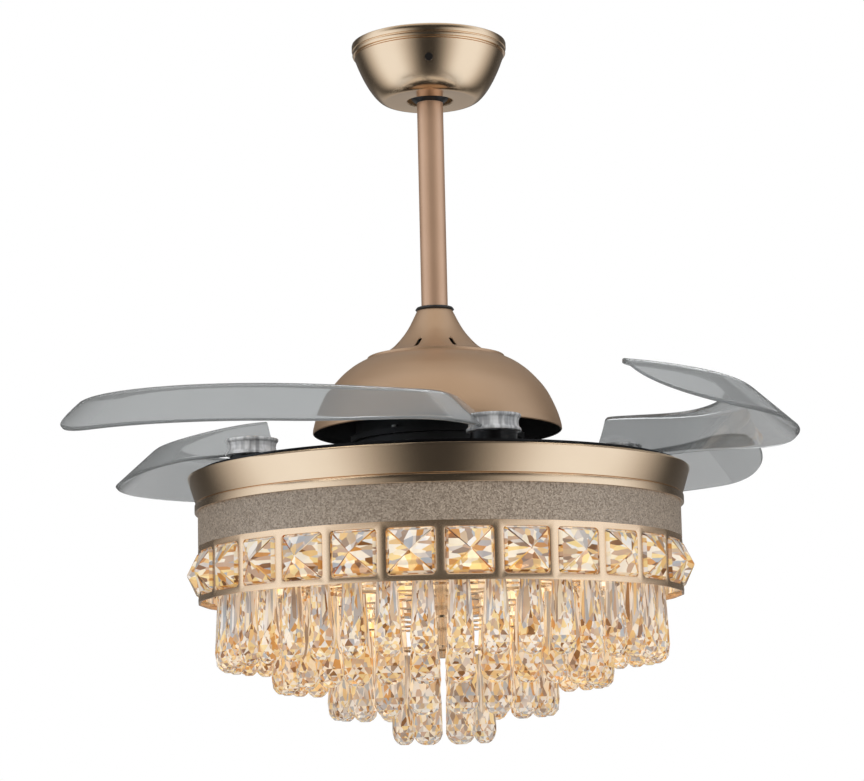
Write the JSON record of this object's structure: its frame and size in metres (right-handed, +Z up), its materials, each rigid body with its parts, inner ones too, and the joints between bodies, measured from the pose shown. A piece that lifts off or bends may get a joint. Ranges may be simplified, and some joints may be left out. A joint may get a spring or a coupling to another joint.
{
  "type": "ceiling fan",
  "caption": "Ceiling fan with folding clear blades on a turning plate, above a drum light with tiers of hanging cut crystals.",
  "frame": {"origin": "on the ceiling, at the middle of the bracket's top face, in the axis of the rod", "axes": "+Z up into the ceiling, +Y away from the picture's camera, +X to the picture's right"},
  "size_m": [0.7218, 0.7218, 0.711],
  "materials": {
    "champagne_metal": "satin brushed champagne gold plating",
    "rod_metal": "matt copper rose plating with faint drawn streaks",
    "dome_metal": "satin tan gold plating, dark inside",
    "glitter": "fine taupe glitter coat",
    "blade_plastic": "clear smoke grey moulding, polished",
    "crystal": "cut and polished clear crystal",
    "black_paint": "gloss black enamel",
    "black_plastic": "matt black moulding",
    "zinc_steel": "bright zinc plating",
    "bearing_steel": "ground and polished",
    "motor_paint": "die cast, dark grey",
    "magnet": "matt black ferrite",
    "stator_iron": "stacked sheets, varnished",
    "coil_copper": "enamelled copper winding",
    "gear_plastic": "natural moulded nylon",
    "pan_paint": "satin white reflector coat",
    "lamp_board": "white solder mask on aluminium",
    "lamp_lens": "warm yellow phosphor",
    "driver_case": "moulded white case",
    "receiver_case": "moulded white case"
  },
  "bodies": {
    "ceiling_mount": {"ceiling_bracket": "zinc_steel", "canopy": "champagne_metal", "canopy_screws": "champagne_metal", "receiver": "receiver_case"},
    "fixture": {"hanger_ball": "black_plastic", "hanger_pin": "zinc_steel", "downrod": "rod_metal", "yoke_bolt": "zinc_steel", "yoke": "black_paint", "yoke_screws": "zinc_steel", "neck_collar": "black_plastic", "neck_cap": "champagne_metal", "dome_cover": "dome_metal", "dome_carrier": "zinc_steel", "hollow_shaft": "zinc_steel", "shaft_nut": "zinc_steel", "stator_core": "stator_iron", "stator_coils": "coil_copper", "lamp_pan": "pan_paint", "gold_band": "champagne_metal", "glitter_band": "glitter", "frame_top_rail": "champagne_metal", "frame_bottom_rail": "champagne_metal", "frame_bars": "champagne_metal", "square_crystals": "crystal", "lamp_board": "lamp_board", "lamps": "lamp_lens", "lamp_driver": "driver_case", "tier_post": "champagne_metal", "tier_ring_1": "champagne_metal", "tier_ring_2": "champagne_metal", "tier_ring_3": "champagne_metal", "tier_ring_4": "champagne_metal", "drops_tier_1": "crystal", "drops_tier_2": "crystal", "drops_tier_3": "crystal", "drops_tier_4": "crystal", "drop_hooks": "champagne_metal"},
    "rotor": {"blade_plate": "black_paint", "gear_tray": "black_paint", "pivot_pins": "champagne_metal", "motor_upper_shell": "motor_paint", "motor_lower_shell": "motor_paint", "motor_screws": "zinc_steel", "lower_bearing": "bearing_steel", "upper_bearing": "bearing_steel", "magnet_ring": "magnet"},
    "sync_gear": {"sync_ring": "gear_plastic"},
    "blade_arm_1": {"blade_1": "blade_plastic", "blade_gear_1": "gear_plastic"},
    "blade_arm_2": {"blade_2": "blade_plastic", "blade_gear_2": "gear_plastic"},
    "blade_arm_3": {"blade_3": "blade_plastic", "blade_gear_3": "gear_plastic"},
    "blade_arm_4": {"blade_4": "blade_plastic", "blade_gear_4": "gear_plastic"}
  },
  "joints": [
    {"name": "hanger_tilt", "type": "hinge", "parent": "ceiling_mount", "child": "fixture", "pos_m": [0, 0, -0.041], "axis": [1, 0, 0], "range_deg": [-6, 6]},
    {"name": "rotor_spin", "type": "hinge", "parent": "fixture", "child": "rotor", "pos_m": [0, 0, -0.445], "axis": [0, 0, 1], "continuous": true},
    {"name": "blade_1_fold", "type": "hinge", "parent": "rotor", "child": "blade_arm_1", "pos_m": [0.05237, -0.18264, -0.42], "axis": [0, 0, 1], "range_deg": [-50, 56]},
    {"name": "blade_2_fold", "type": "hinge", "parent": "rotor", "child": "blade_arm_2", "pos_m": [0.18264, 0.05237, -0.42], "axis": [0, 0, 1], "range_deg": [-50, 56]},
    {"name": "blade_3_fold", "type": "hinge", "parent": "rotor", "child": "blade_arm_3", "pos_m": [-0.05237, 0.18264, -0.42], "axis": [0, 0, 1], "range_deg": [-50, 56]},
    {"name": "blade_4_fold", "type": "hinge", "parent": "rotor", "child": "blade_arm_4", "pos_m": [-0.18264, -0.05237, -0.42], "axis": [0, 0, 1], "range_deg": [-50, 56]},
    {"name": "sync_turn", "type": "hinge", "parent": "rotor", "child": "sync_gear", "pos_m": [0, 0, -0.45], "axis": [0, 0, 1], "range_deg": [-9.9, 8.9]}
  ],
  "couplings": [
    {"joint": "blade_2_fold", "follows": "blade_1_fold", "ratio": 1},
    {"joint": "blade_3_fold", "follows": "blade_1_fold", "ratio": 1},
    {"joint": "blade_4_fold", "follows": "blade_1_fold", "ratio": 1},
    {"joint": "sync_turn", "follows": "blade_1_fold", "ratio": -0.175}
  ]
}
